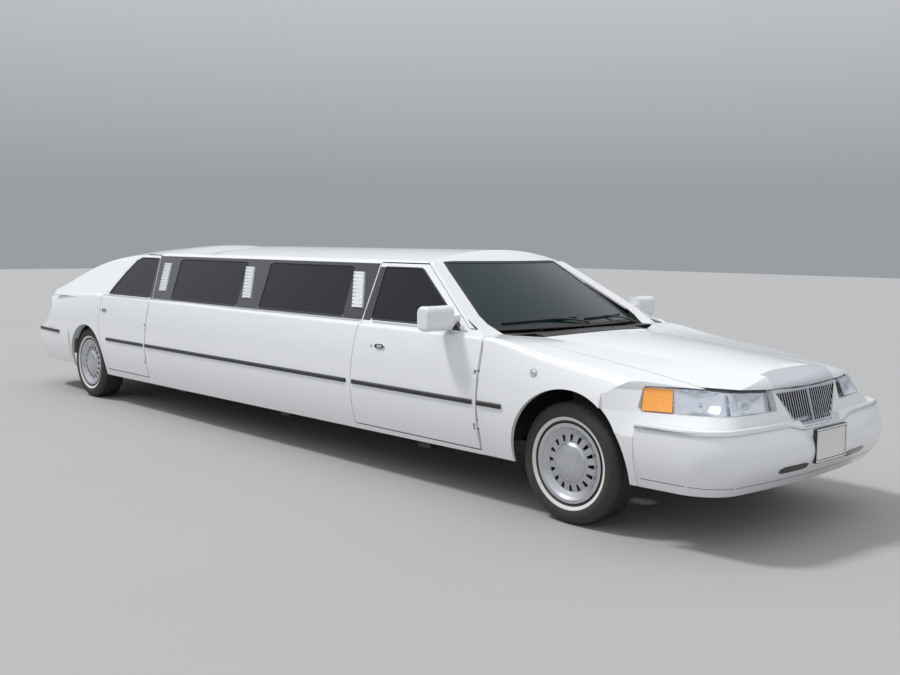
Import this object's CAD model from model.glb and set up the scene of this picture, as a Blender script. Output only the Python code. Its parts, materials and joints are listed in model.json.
import bmesh
import bpy
import json
import math
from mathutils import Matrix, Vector
from mathutils.bvhtree import BVHTree

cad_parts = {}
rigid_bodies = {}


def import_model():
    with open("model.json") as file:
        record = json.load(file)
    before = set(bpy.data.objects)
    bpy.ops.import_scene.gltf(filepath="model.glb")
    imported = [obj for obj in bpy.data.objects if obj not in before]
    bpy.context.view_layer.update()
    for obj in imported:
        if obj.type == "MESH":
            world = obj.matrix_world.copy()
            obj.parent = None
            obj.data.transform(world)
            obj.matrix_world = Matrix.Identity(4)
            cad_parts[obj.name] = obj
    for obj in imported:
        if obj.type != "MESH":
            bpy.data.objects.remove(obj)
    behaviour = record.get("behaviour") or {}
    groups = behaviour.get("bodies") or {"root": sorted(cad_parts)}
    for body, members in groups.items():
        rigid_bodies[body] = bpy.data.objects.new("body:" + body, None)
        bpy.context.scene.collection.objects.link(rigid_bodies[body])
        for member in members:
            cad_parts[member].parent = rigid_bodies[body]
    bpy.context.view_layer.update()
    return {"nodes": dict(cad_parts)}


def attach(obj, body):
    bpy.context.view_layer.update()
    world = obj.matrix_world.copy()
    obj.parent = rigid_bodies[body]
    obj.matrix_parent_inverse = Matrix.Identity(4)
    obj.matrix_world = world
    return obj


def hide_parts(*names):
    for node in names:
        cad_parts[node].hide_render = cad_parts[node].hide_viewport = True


# A white stretch limousine. Metres, +X forward, +Y the car's left, +Z up, the ground at 0.
for old in list(bpy.data.objects):
    bpy.data.objects.remove(old)
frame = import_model()
nodes = frame["nodes"]
# The two axles' places along the car
frontX, rearX = 3.2085, -2.8295
sides = {"left": 1, "right": -1}
print("frame loaded:", len(nodes), "nodes")


# Materials
def addNode(tree, kind, inputs, **settings):
    node = tree.nodes.new("ShaderNode" + kind)
    for key, value in settings.items():
        setattr(node, key, value)
    for key, value in inputs.items():
        if isinstance(value, bpy.types.NodeSocket):
            tree.links.new(value, node.inputs[key])
        else:
            node.inputs[key].default_value = value
    return node


def makeMaterial(name, colour, second=None, roughness=0.4, spread=0.05, metallic=0.0, patches=6.0,
                 grain=400.0, cells=False, bump=0.1, depth=0.001, coat=0.0, alpha=1.0, sheen=0.0,
                 stretch=(1, 1, 1), specular=0.5, glow=0.0):
    material = bpy.data.materials.new(name)
    material.use_nodes = True
    tree = material.node_tree
    shader = tree.nodes["Principled BSDF"]
    place = addNode(tree, "TexCoord", {}).outputs["Object"]
    scaled = addNode(tree, "Mapping", {"Vector": place, "Scale": stretch}).outputs["Vector"]
    broad = addNode(tree, "TexNoise", {"Vector": scaled, "Scale": patches, "Detail": 4.0}).outputs["Fac"]
    if cells:
        fine = addNode(tree, "TexVoronoi", {"Vector": scaled, "Scale": grain}).outputs["Distance"]
    else:
        noise = addNode(tree, "TexNoise", {"Vector": scaled, "Scale": grain, "Detail": 2.0})
        fine = noise.outputs["Fac"]
    other = second or [channel * 0.9 for channel in colour]
    tint = addNode(tree, "MixRGB", {"Fac": broad, "Color1": (*colour, 1), "Color2": (*other, 1)})
    rough = addNode(tree, "MapRange", {"Value": broad, "From Min": 0.3, "From Max": 0.7,
                                       "To Min": roughness - spread, "To Max": roughness + spread})
    relief = addNode(tree, "Bump", {"Strength": bump, "Distance": depth, "Height": fine})
    tree.links.new(tint.outputs["Color"], shader.inputs["Base Color"])
    tree.links.new(rough.outputs["Result"], shader.inputs["Roughness"])
    tree.links.new(relief.outputs["Normal"], shader.inputs["Normal"])
    for socket, value in (("Metallic", metallic), ("Coat Weight", coat), ("Alpha", alpha),
                          ("Sheen Weight", sheen), ("Specular IOR Level", specular)):
        shader.inputs[socket].default_value = value
    shader.inputs["Coat Roughness"].default_value = 0.04
    if glow:
        shader.inputs["Emission Color"].default_value = (*colour, 1)
        shader.inputs["Emission Strength"].default_value = glow
    material.diffuse_color = (*colour, alpha)
    return material


looks = {
    "paint": makeMaterial("whitePaint", (0.86, 0.87, 0.88), (0.84, 0.85, 0.865), roughness=0.3,
                          spread=0.02, patches=1.5, grain=900, bump=0.01, coat=0.8),
    "chrome": makeMaterial("chromePlate", (0.74, 0.76, 0.79), (0.72, 0.74, 0.775), roughness=0.05,
                           spread=0.015, metallic=1, patches=20, grain=500, bump=0.008),
    "blackTrim": makeMaterial("blackTrim", (0.018, 0.018, 0.02), (0.03, 0.03, 0.032), roughness=0.45,
                              spread=0.08, patches=9, grain=1400, cells=True, bump=0.2, depth=0.0004),
    "blackGloss": makeMaterial("blackGloss", (0.01, 0.01, 0.013), roughness=0.14, spread=0.03,
                               grain=600, bump=0.01, coat=0.6),
    "rubber": makeMaterial("sealRubber", (0.02, 0.02, 0.021), (0.035, 0.035, 0.036), roughness=0.65,
                           grain=900, bump=0.2, depth=0.0005),
    "lens": makeMaterial("clearLens", (0.80, 0.84, 0.88), roughness=0.05, spread=0.02, grain=120,
                         bump=0.03, alpha=0.1, specular=0.6, coat=0.5),
    "reflector": makeMaterial("lampReflector", (0.88, 0.9, 0.94), (0.6, 0.65, 0.75), roughness=0.1,
                              spread=0.05, metallic=1, patches=30, grain=180, cells=True, bump=0.35,
                              depth=0.002),
    "amber": makeMaterial("amberLens", (0.95, 0.30, 0.0), (1.0, 0.45, 0.0), roughness=0.3,
                          patches=90, grain=110, cells=True, bump=0.7, depth=0.003, coat=0.2, glow=0.12),
    "louvre": makeMaterial("satinLouvre", (0.86, 0.87, 0.90), (0.78, 0.79, 0.83), roughness=0.28,
                           spread=0.04, metallic=0.8, patches=14, grain=700, bump=0.04),
    "redLens": makeMaterial("redLens", (0.42, 0.01, 0.012), (0.25, 0.003, 0.006), roughness=0.15,
                            patches=20, grain=110, cells=True, bump=0.5, depth=0.002, coat=0.8),
    "screenGlass": makeMaterial("greenGlass", (0.012, 0.03, 0.03), roughness=0.04, spread=0.02,
                                grain=30, bump=0.004, alpha=0.8, specular=0.4),
    "darkGlass": makeMaterial("darkGlass", (0.002, 0.004, 0.010), roughness=0.05, spread=0.02,
                              grain=30, bump=0.004, alpha=0.97, specular=0.3),
    "chassis": makeMaterial("chassisBlack", (0.02, 0.02, 0.021), (0.06, 0.052, 0.042), roughness=0.6,
                            spread=0.12, patches=5, grain=250, bump=0.3),
    "casting": makeMaterial("castMetal", (0.16, 0.16, 0.165), (0.1, 0.085, 0.07), roughness=0.6,
                            spread=0.1, metallic=0.7, patches=12, grain=300, bump=0.5),
    "steel": makeMaterial("pipeSteel", (0.36, 0.35, 0.33), (0.2, 0.15, 0.11), roughness=0.45,
                          spread=0.12, metallic=0.9, patches=7, grain=120, bump=0.25,
                          stretch=(0.3, 1, 1)),
    "leather": makeMaterial("greyLeather", (0.36, 0.36, 0.365), (0.30, 0.30, 0.31), roughness=0.5,
                            spread=0.08, patches=8, grain=420, cells=True, bump=0.45, depth=0.0008,
                            sheen=0.1),
    "wood": makeMaterial("lacqueredWood", (0.16, 0.07, 0.03), (0.07, 0.026, 0.012), roughness=0.25,
                         patches=14, grain=220, bump=0.06, coat=0.8, stretch=(1, 9, 9)),
    "plastic": makeMaterial("grainedPlastic", (0.06, 0.06, 0.066), (0.08, 0.08, 0.085), roughness=0.55,
                            patches=6, grain=900, cells=True, bump=0.35, depth=0.0006),
    "alloy": makeMaterial("machinedAlloy", (0.62, 0.63, 0.65), (0.52, 0.53, 0.56), roughness=0.3,
                          spread=0.07, metallic=0.9, patches=16, grain=600, bump=0.06),
    "tyre": makeMaterial("tyreRubber", (0.022, 0.022, 0.023), (0.05, 0.048, 0.045), roughness=0.7,
                         spread=0.08, patches=7, grain=380, bump=0.3),
    "stripe": makeMaterial("whiteWall", (0.78, 0.77, 0.74), (0.66, 0.65, 0.61), roughness=0.6,
                           patches=12, grain=380, bump=0.15),
    "carpet": makeMaterial("cutPileCarpet", (0.05, 0.05, 0.055), (0.09, 0.09, 0.1), roughness=0.95,
                           spread=0.03, patches=10, grain=520, bump=0.9, depth=0.004, sheen=0.4),
    "headlining": makeMaterial("headlining", (0.42, 0.42, 0.43), (0.36, 0.36, 0.37), roughness=0.9,
                               spread=0.05, patches=3, grain=700, bump=0.5, sheen=0.3),
    "mirror": makeMaterial("mirrorGlass", (0.75, 0.78, 0.82), roughness=0.04, spread=0.02, metallic=1,
                           grain=40, bump=0.004),
    "plate": makeMaterial("plateWhite", (0.82, 0.82, 0.80), (0.74, 0.74, 0.71), roughness=0.35,
                          patches=25, grain=500, bump=0.08, coat=0.3),
}
nodeLooks = {
    "grille_cap": "chrome", "grille": "chrome", "cowl": "blackTrim", "headlamps": "lens",
    "tail_lamps": "redLens", "windscreen": "screenGlass", "rear_window": "darkGlass",
    "side_glass": "darkGlass", "pillar_louvres": "louvre", "floor": "chassis", "frame": "chassis",
    "engine": "casting", "exhaust": "steel", "rear_axle": "chassis", "front_suspension": "chassis",
    "knuckle_left": "casting", "knuckle_right": "casting", "front_seat": "leather",
    "lounge_seats": "leather", "cabinet": "wood", "dashboard": "plastic", "steering_wheel": "plastic",
}
for name, node in nodes.items():
    kind = nodeLooks.get(name)
    if kind is None:
        kind = "darkGlass" if "glass" in name else "alloy" if name.startswith("wheel") else "paint"
        kind = "tyre" if name.startswith("tyre") else kind
    node.data.materials.clear()
    node.data.materials.append(looks[kind])
print("materials set:", len(looks))


# Surfaces of the CAD nodes, for placing trim on them
trees = {}


def cast(names, start, direction):
    best = None
    for name in names:
        if name not in trees:
            mesh = nodes[name].data
            trees[name] = BVHTree.FromPolygons([v.co.copy() for v in mesh.vertices],
                                               [tuple(p.vertices) for p in mesh.polygons])
        point, normal, _, distance = trees[name].ray_cast(Vector(start), Vector(direction))
        if point is not None and (best is None or distance < best[2]):
            if normal.dot(Vector(direction)) > 0:
                normal = -normal
            best = (point, normal, distance)
    return best


def onSide(names, x, z, side):
    return cast(names, (x, side * 1.5, z), (0, -side, 0))


def onNose(names, angle, z, heading=1, reach=0.75):
    centre = Vector(((frontX + 0.1) if heading > 0 else rearX - 0.3, 0, z))
    direction = Vector((math.cos(angle) * heading, math.sin(angle), 0))
    return cast(names, centre + direction * (reach + 1.5), -direction)


def addPiece(name, verts, faces, look, body, sharp=40, faceLooks=None):
    mesh = bpy.data.meshes.new(name)
    mesh.from_pydata([tuple(v) for v in verts], [], faces)
    kinds = [look] + [k for k in (faceLooks or {}) if k != look]
    for kind in kinds:
        mesh.materials.append(looks[kind])
    for kind, members in (faceLooks or {}).items():
        for i in members:
            mesh.polygons[i].material_index = kinds.index(kind)
    work = bmesh.new()
    work.from_mesh(mesh)
    bmesh.ops.recalc_face_normals(work, faces=work.faces[:])
    for face in work.faces:
        face.smooth = True
    for edge in work.edges:
        edge.smooth = edge.is_manifold and edge.calc_face_angle(0) < math.radians(sharp)
    work.to_mesh(mesh)
    work.free()
    piece = bpy.data.objects.new(name, mesh)
    bpy.context.scene.collection.objects.link(piece)
    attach(piece, body)
    return piece


def railMesh(path, profile, closed=False):
    verts, faces, count = [], [], len(profile)
    for i, (point, normal) in enumerate(path):
        last = path[(i - 1) % len(path)][0] if closed or i else point
        following = path[(i + 1) % len(path)][0] if closed or i < len(path) - 1 else point
        across = normal.cross(following - last).normalized()
        verts += [point + across * a + normal * b for a, b in profile]
    rings = len(path) if closed else len(path) - 1
    for i in range(rings):
        j = (i + 1) % len(path)
        for k in range(count):
            m = (k + 1) % count
            faces.append((i * count + k, i * count + m, j * count + m, j * count + k))
    if not closed:
        faces += [tuple(range(count)), tuple(range(len(verts) - 1, len(verts) - count - 1, -1))]
    return verts, faces


def addRail(name, path, profile, look, body, closed=False):
    verts, faces = railMesh([p for p in path if p], profile, closed)
    return addPiece(name, verts, faces, look, body)


def spread(start, end, count):
    return [start + (end - start) * i / (count - 1) for i in range(count)]


def bead(half, height, seat=-0.002):
    return [(-half, seat), (-half, height * 0.4), (-half * 0.6, height), (half * 0.6, height),
            (half, height * 0.4), (half, seat)]


def joinGrid(columns, rows, closedRows=False):
    faces = []
    for i in range(columns - 1):
        for j in range(rows if closedRows else rows - 1):
            m = (j + 1) % rows
            faces.append((i * rows + j, (i + 1) * rows + j, (i + 1) * rows + m, i * rows + m))
    return faces


def addLathe(name, profile, centre, look, body, steps=96, side=1, faceLooks=None, sharp=40):
    verts = []
    for i in range(steps):
        turn = 2 * math.pi * i / steps
        verts += [Vector(centre) + Vector((r * math.cos(turn), side * y, r * math.sin(turn)))
                  for r, y in profile]
    rows, faces, marks = len(profile), [], {}
    for i in range(steps):
        j = (i + 1) % steps
        for k in range(rows - 1):
            for kind, members in (faceLooks or {}).items():
                if k in members:
                    marks.setdefault(kind, []).append(len(faces))
            faces.append((i * rows + k, j * rows + k, j * rows + k + 1, i * rows + k + 1))
    return addPiece(name, verts, faces, look, body, sharp, marks)


# Smooth shading of the CAD nodes
def smoothNode(node, angle=30):
    mesh = node.data
    for polygon in mesh.polygons:
        polygon.use_smooth = True
    if mesh.has_custom_normals:
        return
    mesh.set_sharp_from_angle(angle=math.radians(angle))


for node in nodes.values():
    smoothNode(node)

# Rub strips along the flanks: zone, node, body, start and end from the front axle
rubStrip = {"height": 0.603, "half": 0.015, "proud": 0.009, "lineDrop": 0.0145,
            "line": (0.0022, 0.0075), "zones": [
                ("wing", "fender", "body", -0.444, -0.636),
                ("frontDoor", "front_door", "front_door", -0.679, -1.822),
                ("flank", "body_side", "body", -1.838, -4.785),
                ("rearDoor", "rear_door", "rear_door", -4.829, -5.560)]}
for sideName, side in sides.items():
    for zone, node, body, start, end in rubStrip["zones"]:
        owner = "body" if body == "body" else f"{body}_{sideName}"
        count = 4 + int(abs(end - start) * 14)
        path = [onSide([f"{node}_{sideName}"], frontX + x, rubStrip["height"], side)
                for x in spread(start, end, count)]
        path = [(p[0], p[1]) for p in path if p]
        if side < 0:
            path.reverse()
        addRail(f"{zone}Strip_{sideName}", path, bead(rubStrip["half"], rubStrip["proud"]),
                "blackTrim", owner)
        lower = [(p - Vector((0, 0, rubStrip["lineDrop"])), n) for p, n in path]
        addRail(f"{zone}StripLine_{sideName}", lower, bead(*rubStrip["line"]), "chrome", owner)
print("rub strips done")

# Bright belt line under the side windows: zone, node, start and end from the front axle
belt = {"height": 1.006, "half": 0.0065, "proud": 0.004, "zones": [
            ("frontDoor", "front_door", -0.80, -1.815), ("flank", "body_side", -1.835, -4.79),
            ("rearDoor", "rear_door", -4.815, -5.70)]}
for sideName, side in sides.items():
    for zone, node, start, end in belt["zones"]:
        owner = "body" if node == "body_side" else f"{node}_{sideName}"
        path = [onSide([f"{node}_{sideName}"], frontX + x, belt["height"], side)
                for x in spread(start, end, 5 + int(abs(end - start) * 5))]
        path = [(p[0], p[1]) for p in path if p]
        if side < 0:
            path.reverse()
        addRail(f"{zone}Belt_{sideName}", path, bead(belt["half"], belt["proud"]), "chrome", owner)


# Black panels round the side windows and the rear pillar's painted foot, on the plane of the side glass
sideGlass = {"foot": 0.905, "lean": 0.625, "outward": (0.848, 0.530)}


def glassY(z):
    return sideGlass["foot"] - (z - 1.0) * sideGlass["lean"]


def glassOutward(side):
    across, up = sideGlass["outward"]
    return Vector((0, side * across, up))


def leanX(column, z):
    foot, head = column
    return foot + (head - foot) * (z - 1.022) / 0.34


def addBand(name, side, body, columns, levels, openings, look="blackGloss", out=0.0016):
    rise = glassOutward(side)
    verts = []
    for column in columns:
        for z in levels:
            verts.append(Vector((leanX(column, z), side * glassY(z), z)) + rise * out)
    rows = len(levels)
    front = [(i * rows + j, (i + 1) * rows + j, (i + 1) * rows + j + 1, i * rows + j + 1)
             for i in range(len(columns) - 1) for j in range(rows - 1) if (i, j) not in openings]
    total = len(verts)
    verts += [v - rise * (out + 0.0005) for v in verts]
    faces, edges = [], {}
    for face in front:
        faces += [face, tuple(total + k for k in reversed(face))]
        for a, b in zip(face, face[1:] + face[:1]):
            key = frozenset((a, b))
            edges[key] = None if key in edges else (a, b)
    for pair in edges.values():
        if pair:
            a, b = pair
            faces.append((b, a, a + total, b + total))
    return addPiece(name, verts, faces, look, body)


# Columns of the panels, foot and head, from the front axle; rearDoor and rearFoot are from the rear axle
pillars = {"levels": (1.0135, 1.022, 1.362, 1.3845), "footLevels": (1.046, 1.078, 1.108),
           "flank": [(-1.828, -1.905), (-2.040, -2.170), (-3.105, -3.240), (-3.418, -3.558),
                     (-4.478, -4.663), (-4.797, -5.050)],
           "frontDoor": [(-1.738, -1.838), (-1.812, -1.889)],
           "rearDoor": [(1.226, 0.978), (1.185, 0.960)],
           "rearFoot": [(0.314, 0.508), (-0.12, -0.12)]}
for sideName, side in sides.items():
    levels = pillars["levels"]
    columns = [(frontX + foot, frontX + head) for foot, head in pillars["flank"]]
    addBand(f"pillarPanel_{sideName}", side, "body", columns, levels, {(1, 1), (3, 1)})
    columns = [(frontX + foot, frontX + head) for foot, head in pillars["frontDoor"]]
    addBand(f"doorPillarPanel_{sideName}", side, f"front_door_{sideName}", columns, levels[:3], set())
    columns = [(rearX + foot, rearX + head) for foot, head in pillars["rearDoor"]]
    addBand(f"rearPillarPanel_{sideName}", side, f"rear_door_{sideName}", columns, levels[:3], set())
    columns = [(rearX + foot, rearX + head) for foot, head in pillars["rearFoot"]]
    addBand(f"rearPillarFoot_{sideName}", side, "body", columns, pillars["footLevels"], set(), "paint",
            -0.0006)

# Rubber seals in the side windows' edges
seal = {"half": 0.006, "proud": 0.0032, "lift": 0.0006, "windows": {
    "frontDoor": ("front_door", [(-0.868, 1.022), (-1.455, 1.362), (-1.838, 1.362), (-1.738, 1.022)]),
    "lounge1": ("body", [(-2.040, 1.022), (-2.170, 1.362), (-3.240, 1.362), (-3.105, 1.022)]),
    "lounge2": ("body", [(-3.418, 1.022), (-3.558, 1.362), (-4.663, 1.362), (-4.478, 1.022)]),
    "rearDoor": ("rear_door", [(-4.853, 1.022), (-5.078, 1.362), (-5.398, 1.362), (-5.478, 1.330),
                               (-5.570, 1.220), (-5.636, 1.110), (-5.676, 1.022)])}}
for sideName, side in sides.items():
    for zone, (owner, corners) in seal["windows"].items():
        body = "body" if owner == "body" else f"{owner}_{sideName}"
        outward = glassOutward(side)
        path = []
        for (x0, z0), (x1, z1) in zip(corners, corners[1:] + corners[:1]):
            for part in (0.03, 0.25, 0.5, 0.75, 0.97):
                x, z = x0 + (x1 - x0) * part, z0 + (z1 - z0) * part
                path.append((Vector((frontX + x, side * glassY(z), z)), outward))
        if side < 0:
            path.reverse()
        ring = [(seal["half"] * math.cos(a), seal["proud"] * math.sin(a) + seal["lift"])
                for a in spread(0, 2 * math.pi * 7 / 8, 8)]
        addRail(f"{zone}Seal_{sideName}", path, ring, "rubber", body, closed=True)
print("side window trim done")

# Door handles, a bright oval with a paddle in a dark recess, their locks and the side repeaters
# Each level of an oval is a share of its size and a height above the panel
handle = {"size": (0.108, 0.036), "places": {"front_door": (-1.56, 0.857), "rear_door": (-5.640, 0.868)},
          "levels": [(0, 0.0085), (0.35, 0.008), (0.52, 0.0065), (0.56, 0.0012), (0.80, 0.0012),
                     (0.84, 0.006), (0.93, 0.0068), (1.0, 0.0015), (1.0, -0.002)]}
lock = {"size": (0.02, 0.02), "behind": 0.085, "below": 0.002,
        "levels": [(0, 0.003), (0.4, 0.003), (0.8, 0.0028), (1.0, 0.0005), (1.0, -0.001)]}
repeater = {"place": (-0.22, 0.819), "size": (0.05, 0.046),
            "levels": [(0, 0.009), (0.45, 0.0078), (0.72, 0.005), (0.8, 0.003), (0.86, 0.0042),
                       (1.0, 0.003), (1.0, -0.002)]}


def addOval(name, spot, normal, side, length, height, levels, look, body, faceLooks, slot="chrome"):
    along = Vector((side, 0, 0))
    along = (along - normal * along.dot(normal)).normalized()
    upward = normal.cross(along).normalized()
    verts, steps = [spot + normal * levels[0][1]], 40
    for share, out in levels[1:]:
        for i in range(steps):
            turn = 2 * math.pi * i / steps
            c, s = math.cos(turn), math.sin(turn)
            reach = 1 / (abs(c) ** 2.6 + abs(s) ** 2.6) ** (1 / 2.6)
            verts.append(spot + along * (c * reach * share * length / 2)
                         + upward * (s * reach * share * height / 2) + normal * out)
    faces = [(0, 1 + i, 1 + (i + 1) % steps) for i in range(steps)]
    marks = {}
    for ring in range(len(levels) - 2):
        base = 1 + ring * steps
        for i in range(steps):
            j = (i + 1) % steps
            for kind, members in faceLooks.items():
                if ring in members:
                    marks.setdefault(kind, []).append(len(faces))
            faces.append((base + i, base + steps + i, base + steps + j, base + j))
    return addPiece(name, verts, faces, look, body, faceLooks=marks)


for sideName, side in sides.items():
    for node, (x, z) in handle["places"].items():
        spot, normal, _ = onSide([f"{node}_{sideName}"], frontX + x, z, side)
        addOval(f"{node}Handle_{sideName}", spot, normal, side, *handle["size"], handle["levels"],
                "chrome", f"{node}_{sideName}", {"blackTrim": {2, 3}})
        x, z = frontX + x - lock["behind"], z - lock["below"]
        spot, normal, _ = onSide([f"{node}_{sideName}"], x, z, side)
        addOval(f"{node}Lock_{sideName}", spot, normal, side, *lock["size"], lock["levels"],
                "chrome", f"{node}_{sideName}", {})
    x, z = repeater["place"]
    spot, normal, _ = onSide([f"fender_{sideName}"], frontX + x, z, side)
    addOval(f"sideRepeater_{sideName}", spot, normal, side, *repeater["size"], repeater["levels"],
            "reflector", "body", {"chrome": {2, 3, 4}}, "lamp_clear")
print("handles done")


# Patches of surface laid on or under a CAD surface
def addPatch(name, caster, us, vs, out, look, body, thick=0.0012, trim=None):
    verts, missing = [], set()
    for i, u in enumerate(us):
        for j, v in enumerate(vs):
            hit = caster(u, v)
            if hit is None or (trim and not trim(u, v)):
                missing.add(i * len(vs) + j)
                verts.append(Vector((0, 0, 0)))
                continue
            depth = out(u, v) if callable(out) else out
            verts.append(hit[0] + hit[1] * depth)
    front = [f for f in joinGrid(len(us), len(vs)) if not missing & set(f)]
    used = sorted({k for f in front for k in f})
    place = {k: n for n, k in enumerate(used)}
    points = [verts[k] for k in used]
    faces = [tuple(place[k] for k in f) for f in front]
    piece = addPiece(name, points, faces, look, body)
    solid = piece.modifiers.new("thickness", "SOLIDIFY")
    solid.thickness = thick
    solid.offset = 0
    return piece


# Inside of the headlamps: amber corner, two reflector chambers with their bulbs and a bright housing
lamp = {"middle": 0.74, "amber": 0.21, "chambers": [("outer", 0.47, 0.75), ("inner", 0.10, 0.42)],
        "bulb": ((0.002, 0.012), (0.008, 0.010), (0.0105, 0.003), (0.0105, -0.012)),
        "housingDepth": 0.034, "amberDepth": 0.0045, "dishEdge": 0.010, "dishDepth": 0.030,
        "bulbDepth": 0.022}


def lampCaster(side):
    rows = {}

    def reach(angle, share):
        if angle not in rows:
            seen = [z for z in spread(0.66, 0.84, 91) if onNose(["headlamps"], side * angle, z)]
            rows[angle] = (min(seen) + 0.003, max(seen) - 0.003) if seen else (lamp["middle"],) * 2
        low, high = rows[angle]
        return onNose(["headlamps"], side * angle, low + (high - low) * share)
    return reach


for sideName, side in sides.items():
    caster = lampCaster(side)
    hits = [a for a in spread(0.2, 1.4, 241) if onNose(["headlamps"], side * a, lamp["middle"])]
    inner, outer = min(hits) + 0.012, max(hits) - 0.012
    width = outer - inner
    addPatch(f"lampHousing_{sideName}", caster, spread(inner, outer, 61), spread(0, 1, 15),
             -lamp["housingDepth"], "reflector", "body")
    addPatch(f"amberCorner_{sideName}", caster, spread(outer - width * lamp["amber"], outer - 0.004, 17),
             spread(0.05, 0.95, 13), -lamp["amberDepth"], "amber", "body", thick=0.002)
    for label, low, high in lamp["chambers"]:
        a, b = inner + width * low, inner + width * high

        def dish(u, v, a=a, b=b):
            across, up = (u - a) / (b - a) * 2 - 1, v * 2 - 1
            hollow = max(0, 1 - across ** 2) * max(0, 1 - up ** 2) ** 0.7
            return -lamp["dishEdge"] - lamp["dishDepth"] * hollow
        addPatch(f"lampDish_{label}_{sideName}", caster, spread(a, b, 25), spread(0.04, 0.96, 15), dish,
                 "reflector", "body")
        hit = caster((a + b) / 2, 0.5)
        bulb = hit[0] - hit[1] * lamp["bulbDepth"]
        verts, faces, steps = [], [], 20
        for k, (r, out) in enumerate(lamp["bulb"]):
            for i in range(steps):
                turn = 2 * math.pi * i / steps
                lateral = Vector((-hit[1].y, hit[1].x, 0)).normalized()
                verts.append(bulb + hit[1] * out + lateral * (r * math.cos(turn))
                             + Vector((0, 0, r * math.sin(turn))))
                if k:
                    j = (i + 1) % steps
                    near, far = (k - 1) * steps, k * steps
                    faces.append((near + i, near + j, far + j, far + i))
        faces.append(tuple(range(steps)))
        addPiece(f"lampBulb_{label}_{sideName}", verts, faces, "mirror", "body")
print("headlamps done")

# Dark panel behind the grille bars
grilleBack = {"x": (0.83, 0.836),
              "corners": ((-0.318, 0.779), (0.318, 0.779), (0.188, 0.597), (-0.188, 0.597))}
verts = [Vector((frontX + x, y, z)) for x in grilleBack["x"] for y, z in grilleBack["corners"]]
faces = [(0, 1, 2, 3), (7, 6, 5, 4)] + [(i, i + 4, (i + 1) % 4 + 4, (i + 1) % 4) for i in range(4)]
addPiece("grilleBack", verts, faces, "blackTrim", "body")

# Bumper strips, the lower seam and the air slots
bumperTrim = {"chromeHalf": 0.0095, "chromeProud": 0.008, "sideHeight": 0.614, "middleHeight": 0.588,
              "seamHeight": 0.345, "rearHeight": 0.598, "rearHalf": 0.016, "rearProud": 0.009,
              "rearLineDrop": 0.0155}
airSlot = {"middle": (0.335, 0.402), "half": (0.135, 0.020), "y": (0.196, 0.474), "z": (0.380, 0.424)}


def stripHeight(y):
    share = min(1, max(0, (0.36 - abs(y)) / 0.16))
    share = share * share * (3 - 2 * share)
    return bumperTrim["sideHeight"] - share * (bumperTrim["sideHeight"] - bumperTrim["middleHeight"])


path = []
for angle in spread(-1.22, 1.22, 121):
    guess = onNose(["front_bumper"], angle, bumperTrim["sideHeight"] - 0.02)
    if guess is None:
        continue
    hit = onNose(["front_bumper"], angle, stripHeight(guess[0].y))
    if hit:
        path.append((hit[0], hit[1]))
addRail("frontBumperStrip", path, bead(bumperTrim["chromeHalf"], bumperTrim["chromeProud"]), "chrome",
        "body")
path = [onNose(["front_bumper"], angle, bumperTrim["seamHeight"]) for angle in spread(-1.2, 1.2, 81)]
addRail("frontBumperSeam", [(p[0], p[1]) for p in path if p], bead(0.002, 0.0006, -0.001), "rubber",
        "body")
path = [onNose(["rear_bumper"], angle, bumperTrim["rearHeight"], -1) for angle in spread(-1.25, 1.25, 101)]
path = [(p[0], p[1]) for p in path if p]
path.reverse()
addRail("rearBumperStrip", path, bead(bumperTrim["rearHalf"], bumperTrim["rearProud"]), "blackTrim",
        "body")
lower = [(p - Vector((0, 0, bumperTrim["rearLineDrop"])), n) for p, n in path]
addRail("rearBumperLine", lower, bead(0.003, 0.008), "chrome", "body")
for sideName, side in sides.items():
    def slotTrim(y, z):
        across = (abs(y) - airSlot["middle"][0]) / airSlot["half"][0]
        up = (z - airSlot["middle"][1]) / airSlot["half"][1]
        return abs(across) ** 6 + abs(up) ** 2.2 <= 1.0
    addPatch(f"airSlot_{sideName}", lambda y, z: cast(["front_bumper"], (frontX + 2, y, z), (-1, 0, 0)),
             spread(*(side * y for y in airSlot["y"]), 57), spread(*airSlot["z"], 12), 0.0012,
             "blackGloss", "body", thick=0.001, trim=slotTrim)
print("bumper trim done")

# Blank front plate in a dark surround
plate = {"centre": 0.496, "half": (0.1525, 0.076), "face": frontX + 1.0466,
         "layers": [(0, 0, 0.01), (0.002, 0, 0.01), (0.0024, 0.004, 0.008), (0.0018, 0.007, 0.006)],
         "surround": [(1.028, 0.1675, 0.0915, 0.008), (1.0492, 0.1675, 0.0915, 0.008),
                      (1.0498, 0.1665, 0.0905, 0.007), (1.0498, 0.1535, 0.0770, 0.010),
                      (1.0462, 0.1530, 0.0765, 0.010)]}


def roundedRing(halfY, halfZ, radius, steps=6):
    points = []
    for cy, cz, start in ((1, 1, 0), (-1, 1, 90), (-1, -1, 180), (1, -1, 270)):
        for i in range(steps + 1):
            turn = math.radians(start + 90 * i / steps)
            points.append((cy * (halfY - radius) + radius * math.cos(turn),
                           cz * (halfZ - radius) + radius * math.sin(turn)))
    return points


def addRimmed(name, rings, centre, look, body, faceLooks=None, capLast=True):
    verts, faces = [], []
    for x, points in rings:
        verts += [Vector((x, centre[0] + y, centre[1] + z)) for y, z in points]
    count, marks = len(rings[0][1]), {}
    for ring in range(len(rings) - 1):
        for i in range(count):
            j = (i + 1) % count
            for kind, members in (faceLooks or {}).items():
                if ring in members:
                    marks.setdefault(kind, []).append(len(faces))
            near, far = ring * count, (ring + 1) * count
            faces.append((near + i, near + j, far + j, far + i))
    if capLast:
        faces.append(tuple(range(len(verts) - count, len(verts))))
    return addPiece(name, verts, faces, look, body, faceLooks=marks)


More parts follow.
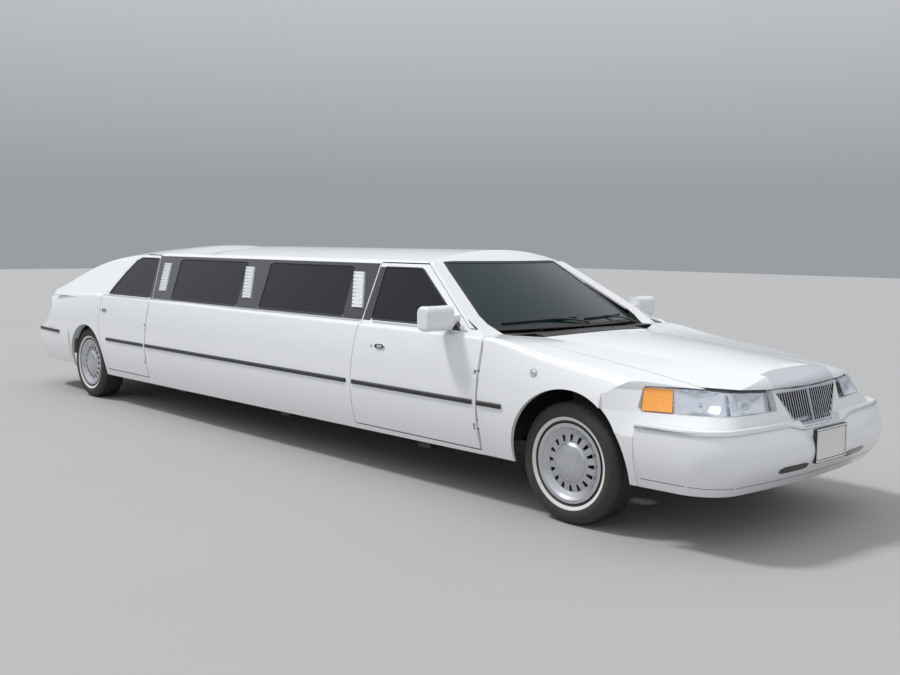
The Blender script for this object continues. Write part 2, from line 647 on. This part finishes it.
halfY, halfZ = plate["half"]
addRimmed("frontPlate", [(plate["face"] + out, roundedRing(halfY - inset, halfZ - inset, radius))
                         for out, inset, radius in plate["layers"]],
          (0, plate["centre"]), "plate", "body")
addRimmed("plateSurround", [(frontX + x, roundedRing(y, z, radius))
                            for x, y, z, radius in plate["surround"]],
          (0, plate["centre"]), "blackTrim", "body", capLast=False)
print("plate done")

# Windscreen edge as two arcs, foot and head, and the wipers
screen = {"foot": ((-0.800, 0.752), (-0.612, 0), (-0.800, -0.752)),
          "head": ((-1.400, -0.552), (-1.290, 0), (-1.400, 0.552)),
          "seal": [(-0.016, -0.001), (-0.014, 0.0025), (0.014, 0.0025), (0.016, -0.001)]}
wiper = {"spans": (("right", -0.62, 0.02), ("left", 0.02, 0.60)),
         "blade": [(-0.004, 0.001), (-0.002, 0.012), (0.002, 0.012), (0.004, 0.001)]}


def parabola(arc, count):
    (x0, y0), (xm, ym), (x1, y1) = arc
    return [(xm + (x0 - xm) * (1 - 2 * i / (count - 1)) ** 2, y0 + (y1 - y0) * i / (count - 1))
            for i in range(count)]


def between(start, end, shares):
    return [(start[0] + (end[0] - start[0]) * t, start[1] + (end[1] - start[1]) * t) for t in shares]


base, head = parabola(screen["foot"], 25), parabola(screen["head"], 19)
outline = base + between(base[-1], head[0], (0.15, 0.35, 0.6, 0.85))
outline += head + between(head[-1], base[0], (0.15, 0.4, 0.65, 0.85))
path = []
for x, y in outline:
    hit = cast(["windscreen"], (frontX + x * 0.985 - 0.014, y * 0.975, 2), (0, 0, -1))
    if hit:
        path.append((hit[0], hit[1]))
addRail("windscreenSeal", path, screen["seal"], "rubber", "body", closed=True)
for label, yTip, yPivot in wiper["spans"]:
    blade = []
    for y in spread(yTip, yPivot - 0.06, 15):
        x = -0.612 - 0.188 * (y / 0.752) ** 2 - 0.055 - 0.03 * abs(y - yTip)
        hit = cast(["windscreen"], (frontX + x, y, 2), (0, 0, -1))
        if hit:
            blade.append((hit[0], hit[1]))
    addRail(f"wiperBlade_{label}", blade, wiper["blade"], "blackTrim", "body")
    middle = blade[len(blade) // 2]
    foot = cast(["cowl", "windscreen"], (frontX - 0.625 - 0.1 * yPivot ** 2, yPivot, 2), (0, 0, -1))
    if foot:
        arm = [(foot[0] + (middle[0] - foot[0]) * t + Vector((0, 0, 0.008 + 0.014 * math.sin(t * math.pi))),
                middle[1]) for t in spread(0, 1, 9)]
        addRail(f"wiperArm_{label}", arm, bead(0.007, 0.006), "blackTrim", "body")
print("windscreen trim done")

# Painted feet of the windscreen pillars, from the pillar down to the wing, measured from the front axle
pillarFoot = {"line": [(-0.862, 1.0795), (-0.800, 1.0405), (-0.745, 1.008), (-0.712, 0.990),
                       (-0.690, 0.9835), (-0.642, 0.9835)],
              "inner": [0.736, 0.738, 0.716, 0.706, 0.706, 0.706],
              "outer": [0.852, 0.851, 0.850, 0.850, 0.850, 0.850]}
for sideName, side in sides.items():
    verts = []
    for (x, z), inner, outer in zip(pillarFoot["line"], pillarFoot["inner"], pillarFoot["outer"]):
        verts += [Vector((frontX + x, side * y, z)) for y in spread(inner, outer, 5)]
    piece = addPiece(f"pillarFoot_{sideName}", verts, joinGrid(6, 5), "paint", "body")
    solid = piece.modifiers.new("thickness", "SOLIDIFY")
    solid.thickness, solid.offset = 0.002, 0

# Door mirrors: glass in a dark rim, and a dark foot
mirror = {"centre": (frontX - 0.955, 1.028, 1.078), "half": (0.080, 0.056),
          "foot": ((-0.862, 1.008), (-1.040, 1.010), (-1.040, 1.060), (-0.990, 1.098), (-0.950, 1.062))}
for sideName, side in sides.items():
    x, y, z = mirror["centre"]
    hit = cast([f"mirror_{sideName}"], (x - 1, side * y, z), (1, 0, 0))
    halfY, halfZ = mirror["half"]
    addRimmed(f"mirrorGlass_{sideName}",
              [(hit[0].x + 0.001, roundedRing(halfY + 0.006, halfZ + 0.006, 0.034)),
               (hit[0].x - 0.002, roundedRing(halfY + 0.006, halfZ + 0.006, 0.034)),
               (hit[0].x - 0.002, roundedRing(halfY, halfZ, 0.030)),
               (hit[0].x - 0.0012, roundedRing(halfY - 0.001, halfZ - 0.001, 0.030))],
              (side * y, z), "mirror", f"front_door_{sideName}", {"blackTrim": {0, 1, 2}})
    verts = []
    for shift in (0.0, 0.010):
        for px, pz in mirror["foot"]:
            verts.append(Vector((frontX + px, side * (glassY(pz) + 0.002 + shift), pz)))
    faces = [(0, 1, 2, 3, 4), (9, 8, 7, 6, 5)]
    faces += [(i, 5 + i, 5 + (i + 1) % 5, (i + 1) % 5) for i in range(5)]
    addPiece(f"mirrorFoot_{sideName}", verts, faces, "blackTrim", f"front_door_{sideName}")
print("mirrors done")

# Tyres with grooves and a white stripe, and brake discs behind the wheels
tyre = {"radius": 0.338, "half": 0.1125, "stripe": (0.2430, 0.2545), "steps": 120,
        "axles": (("front", frontX, 0.805), ("rear", rearX, 0.8295))}
brakeDisc = [(0.050, -0.026), (0.148, -0.026), (0.150, -0.024), (0.150, -0.018), (0.140, -0.016),
             (0.140, -0.010), (0.150, -0.008), (0.150, -0.002), (0.148, 0.0), (0.050, 0.0), (0.050, -0.026)]


def tyreProfile():
    half = tyre["half"]
    side = [(0.2003, 0.080), (0.2240, 0.0905)]
    a, b, c = (0.2240, 0.0905), (0.276, half), (0.316, half - 0.012)
    for t in (0.12, 0.25, 0.30, 0.45, 0.52, 0.53, 0.62, 0.75, 0.87, 1.0):
        q0, q1, q2 = (t - 0.5) * (t - 1) * 2, -4 * t * (t - 1), 2 * t * (t - 0.5)
        side.append((a[0] * q0 + b[0] * q1 + c[0] * q2, a[1] * q0 + b[1] * q1 + c[1] * q2))
    side += [(0.3235, half - 0.0155), (0.331, half - 0.021), (0.3360, half - 0.028), (0.3380, half - 0.036)]
    grooves = []
    for y in (0.052, 0.018):
        grooves += [(0.338, y + 0.0055), (0.3315, y + 0.004), (0.3315, y - 0.004), (0.338, y - 0.0055)]
    right = side + grooves
    return right + [(r, -y) for r, y in reversed(right)]


profile = tyreProfile()
rowCount = len(profile)
low, high = tyre["stripe"]
stripeRows = [k for k in range(rowCount - 1)
              if profile[k][1] > 0.07 and low < (profile[k][0] + profile[k + 1][0]) / 2 < high]
for place, x, track in tyre["axles"]:
    for sideName, side in sides.items():
        body = f"wheel_{place}_{sideName}"
        verts, faces, marks, steps = [], [], [], tyre["steps"]
        centre = Vector((x, side * track, tyre["radius"]))
        for i in range(steps):
            turn = 2 * math.pi * i / steps
            for r, y in profile:
                sipe = 0.0035 if i % 3 == 0 and r > 0.3365 else 0
                sipe = 0.006 if i % 3 == 0 and 0.0735 < abs(y) < 0.0925 and r > 0.330 else sipe
                reach = r - sipe
                verts.append(centre + Vector((reach * math.cos(turn), side * y, reach * math.sin(turn))))
        for i in range(steps):
            near, far = i * rowCount, (i + 1) % steps * rowCount
            for k in range(rowCount - 1):
                if k in stripeRows:
                    marks.append(len(faces))
                faces.append((near + k, far + k, far + k + 1, near + k + 1))
            faces.append((near + rowCount - 1, far + rowCount - 1, far, near))
        piece = addPiece(f"treadTyre_{place}_{sideName}", verts, faces, "tyre", body, 32,
                         {"stripe": marks})
        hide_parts(f"tyre_{place}_{sideName}")
        addLathe(f"brakeDisc_{place}_{sideName}", brakeDisc, centre, "casting", body, 64, side)
print("tyres and brakes done")


# Padded seats
def addPad(name, centre, size, body, lean=0, channels=(), crown=0.5, look="leather"):
    length, width, thick = size
    count, verts = 25, []
    turn = math.radians(lean)
    for layer in (1, -1):
        for i in range(count):
            for j in range(count):
                u, v = -1 + 2 * i / (count - 1), -1 + 2 * j / (count - 1)
                full = max(0, 1 - u ** 8) ** 0.45 * max(0, 1 - v ** 8) ** 0.45
                swell = 1 + crown * 0.35 * (1 - u * u) * (1 - v * v)
                height = full * thick / 2 * (swell if layer > 0 else 1)
                for seam in channels:
                    height -= 0.010 * math.exp(-((v - seam) / 0.035) ** 2) * full * (layer > 0)
                pull = 1 - 0.02 * (1 - v * v) if abs(u) > 0.9 else 1
                x, y, z = u * length / 2 * pull, v * width / 2, layer * height
                verts.append(Vector((centre[0] + x * math.cos(turn) - z * math.sin(turn), centre[1] + y,
                                     centre[2] + x * math.sin(turn) + z * math.cos(turn))))
    top = joinGrid(count, count)
    faces = top + [tuple(reversed([k + count * count for k in f])) for f in top]
    mesh = bpy.data.meshes.new(name)
    mesh.from_pydata([tuple(v) for v in verts], [], faces)
    work = bmesh.new()
    work.from_mesh(mesh)
    bmesh.ops.remove_doubles(work, verts=work.verts[:], dist=0.0004)
    bmesh.ops.recalc_face_normals(work, faces=work.faces[:])
    for face in work.faces:
        face.smooth = True
    work.to_mesh(mesh)
    work.free()
    mesh.materials.append(looks[look])
    piece = bpy.data.objects.new(name, mesh)
    bpy.context.scene.collection.objects.link(piece)
    smoother = piece.modifiers.new("smooth", "SUBSURF")
    smoother.levels = smoother.render_levels = 1
    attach(piece, body)
    return piece


def addBox(name, low, high, look, body, bevel=0.01):
    verts = [Vector((x, y, z)) for x in (low[0], high[0]) for y in (low[1], high[1])
             for z in (low[2], high[2])]
    faces = [(0, 1, 3, 2), (4, 6, 7, 5), (0, 4, 5, 1), (2, 3, 7, 6), (0, 2, 6, 4), (1, 5, 7, 3)]
    piece = addPiece(name, verts, faces, look, body)
    rounded = piece.modifiers.new("edges", "BEVEL")
    rounded.width = bevel
    rounded.segments = 3
    return piece


# Height of the seats' undersides, just over the cabin floor
seatBase = 0.3203
frontSeat = {"x": frontX - 1.56, "half": 0.305, "middle": 0.335, "seams": (-0.45, 0, 0.45)}
for sideName, side in sides.items():
    y, x, w = side * frontSeat["middle"], frontSeat["x"], frontSeat["half"] * 2 - 0.02
    addPad(f"seatCushion_{sideName}", (x + 0.245, y, seatBase + 0.205), (0.49, w, 0.125),
                         "body", lean=2, channels=frontSeat["seams"])
    addPad(f"seatBack_{sideName}", (x - 0.150, y, seatBase + 0.470), (0.56, w - 0.03, 0.115),
                         "body", lean=101, channels=frontSeat["seams"])
    addBox(f"seatPlinth_{sideName}", (x + 0.02, y - 0.22, seatBase), (x + 0.46, y + 0.22, seatBase + 0.13),
           "plastic", "body")
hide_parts("front_seat")
bench, benchPlaces, benchSeams = rearX + 0.64, (-0.425, 0, 0.425), (-0.33, 0.33)
for k, y in enumerate(benchPlaces):
    addPad(f"benchCushion_{k + 1}", (bench + 0.26, y, seatBase + 0.215),
                            (0.50, 0.42, 0.125), "body", lean=2, channels=benchSeams)
    addPad(f"benchBack_{k + 1}", (bench - 0.115, y, seatBase + 0.490), (0.46, 0.42, 0.11),
                            "body", lean=97, channels=benchSeams)
addBox("benchPlinth", (bench + 0.01, -0.63, seatBase), (bench + 0.50, 0.63, seatBase + 0.14), "carpet",
       "body", 0.02)
sofa = {"start": rearX + 1.32, "end": frontX - 2.33, "places": 4, "gap": 0.01}
pitch = (sofa["end"] - sofa["start"]) / sofa["places"]
for k in range(sofa["places"]):
    x, length = sofa["start"] + pitch * (k + 0.5), pitch - sofa["gap"]
    addPad(f"sofaCushion_{k + 1}", (x, -0.465, seatBase + 0.195), (length, 0.33, 0.12), "body",
           channels=(0,))
    addPad(f"sofaBack_{k + 1}", (x, -0.685, seatBase + 0.40), (length, 0.085, 0.38), "body")
addBox("sofaPlinth", (sofa["start"], -0.64, seatBase), (sofa["end"], -0.31, seatBase + 0.13), "carpet",
       "body", 0.02)
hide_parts("lounge_seats")
print("seats done")

# Cabin lining: headlining, carpet and door cards, each card with its start, end and foot
lining = {"headlining": {"x": (-2.75, 1.66), "y": (-0.53, 0.53)},
          "carpet": {"x": (-2.36, 2.44), "y": (-0.76, 0.76)},
          "cards": {"front_door": (-1.78, -0.72, 0.45), "rear_door": (-5.52, -4.86, 0.62)},
          "cardTop": 0.965}
addPatch("headlining", lambda x, y: cast(["roof"], (x, y, 1.15), (0, 0, 1)),
         spread(*lining["headlining"]["x"], 45), spread(*lining["headlining"]["y"], 13), 0.004,
         "headlining", "body", thick=0.003)
addPatch("carpet", lambda x, y: cast(["floor"], (x, y, 0.9), (0, 0, -1)),
         spread(*lining["carpet"]["x"], 33), spread(*lining["carpet"]["y"], 9), 0.004,
         "carpet", "body", thick=0.004)
for sideName, side in sides.items():
    for node, (start, end, foot) in lining["cards"].items():
        addPatch(f"{node}Card_{sideName}",
                 lambda x, z: cast([f"{node}_{sideName}"], (x, side * 0.3, z), (0, side, 0)),
                 spread(frontX + start, frontX + end, 23), spread(foot, lining["cardTop"], 11), 0.003,
                 "leather", f"{node}_{sideName}", thick=0.004)
print("lining done")

# Floor and key light
ground = {"size": 90, "colour": (0.42, 0.42, 0.415), "second": (0.39, 0.39, 0.385)}
half = ground["size"] / 2
mesh = bpy.data.meshes.new("ground")
corners = [(-half, -half, 0), (half, -half, 0), (half, half, 0), (-half, half, 0)]
mesh.from_pydata(corners, [], [(0, 1, 2, 3)])
mesh.materials.append(makeMaterial("paleFloor", ground["colour"], ground["second"], roughness=0.8,
                                   spread=0.03, patches=0.4, grain=60, bump=0.03))
floorPiece = bpy.data.objects.new("ground", mesh)
bpy.context.scene.collection.objects.link(floorPiece)

keyLight = {"direction": (-0.55, -0.34, 0.95), "strength": 1.9, "softness": 9}
light = bpy.data.lights.new("key", "SUN")
light.energy = keyLight["strength"]
light.angle = math.radians(keyLight["softness"])
sun = bpy.data.objects.new("key", light)
sun.rotation_euler = Vector(keyLight["direction"]).to_track_quat("Z", "Y").to_euler()
bpy.context.scene.collection.objects.link(sun)

# A plain studio: pale wall, brighter ceiling
studio = {"colours": ((0.38, 0.40, 0.43), (0.90, 0.92, 0.95)), "heights": (0.05, 0.45), "strength": 0.85}
world = bpy.data.worlds.new("studio")
world.use_nodes = True
bpy.context.scene.world = world
tree = world.node_tree
place = addNode(tree, "TexCoord", {}).outputs["Generated"]
height = addNode(tree, "SeparateXYZ", {"Vector": place}).outputs["Z"]
ramp = addNode(tree, "ValToRGB", {"Fac": height})
for stop, position, colour in zip(ramp.color_ramp.elements, studio["heights"], studio["colours"]):
    stop.position, stop.color = position, (*colour, 1)
background = tree.nodes["Background"]
tree.links.new(ramp.outputs["Color"], background.inputs["Color"])
background.inputs["Strength"].default_value = studio["strength"]

# Camera at the photograph's viewing angle
view = {"place": (6.7325, -5.117, 1.532), "yaw": -46.74, "pitch": -5.34, "roll": -0.57, "lens": 40.6}
cameraData = bpy.data.cameras.new("camera")
cameraData.lens = view["lens"]
cameraData.sensor_width = 36
camera = bpy.data.objects.new("camera", cameraData)
camera.location = view["place"]
yaw, pitch = math.radians(view["yaw"]), math.radians(view["pitch"])
look = Vector((math.sin(yaw) * math.cos(pitch), math.cos(yaw) * math.cos(pitch), math.sin(pitch)))
camera.rotation_euler = look.to_track_quat("-Z", "Y").to_euler()
camera.rotation_euler.rotate_axis("Z", math.radians(-view["roll"]))
bpy.context.scene.collection.objects.link(camera)
bpy.context.scene.camera = camera
bpy.context.scene.view_settings.view_transform = "Standard"
print("stage done")
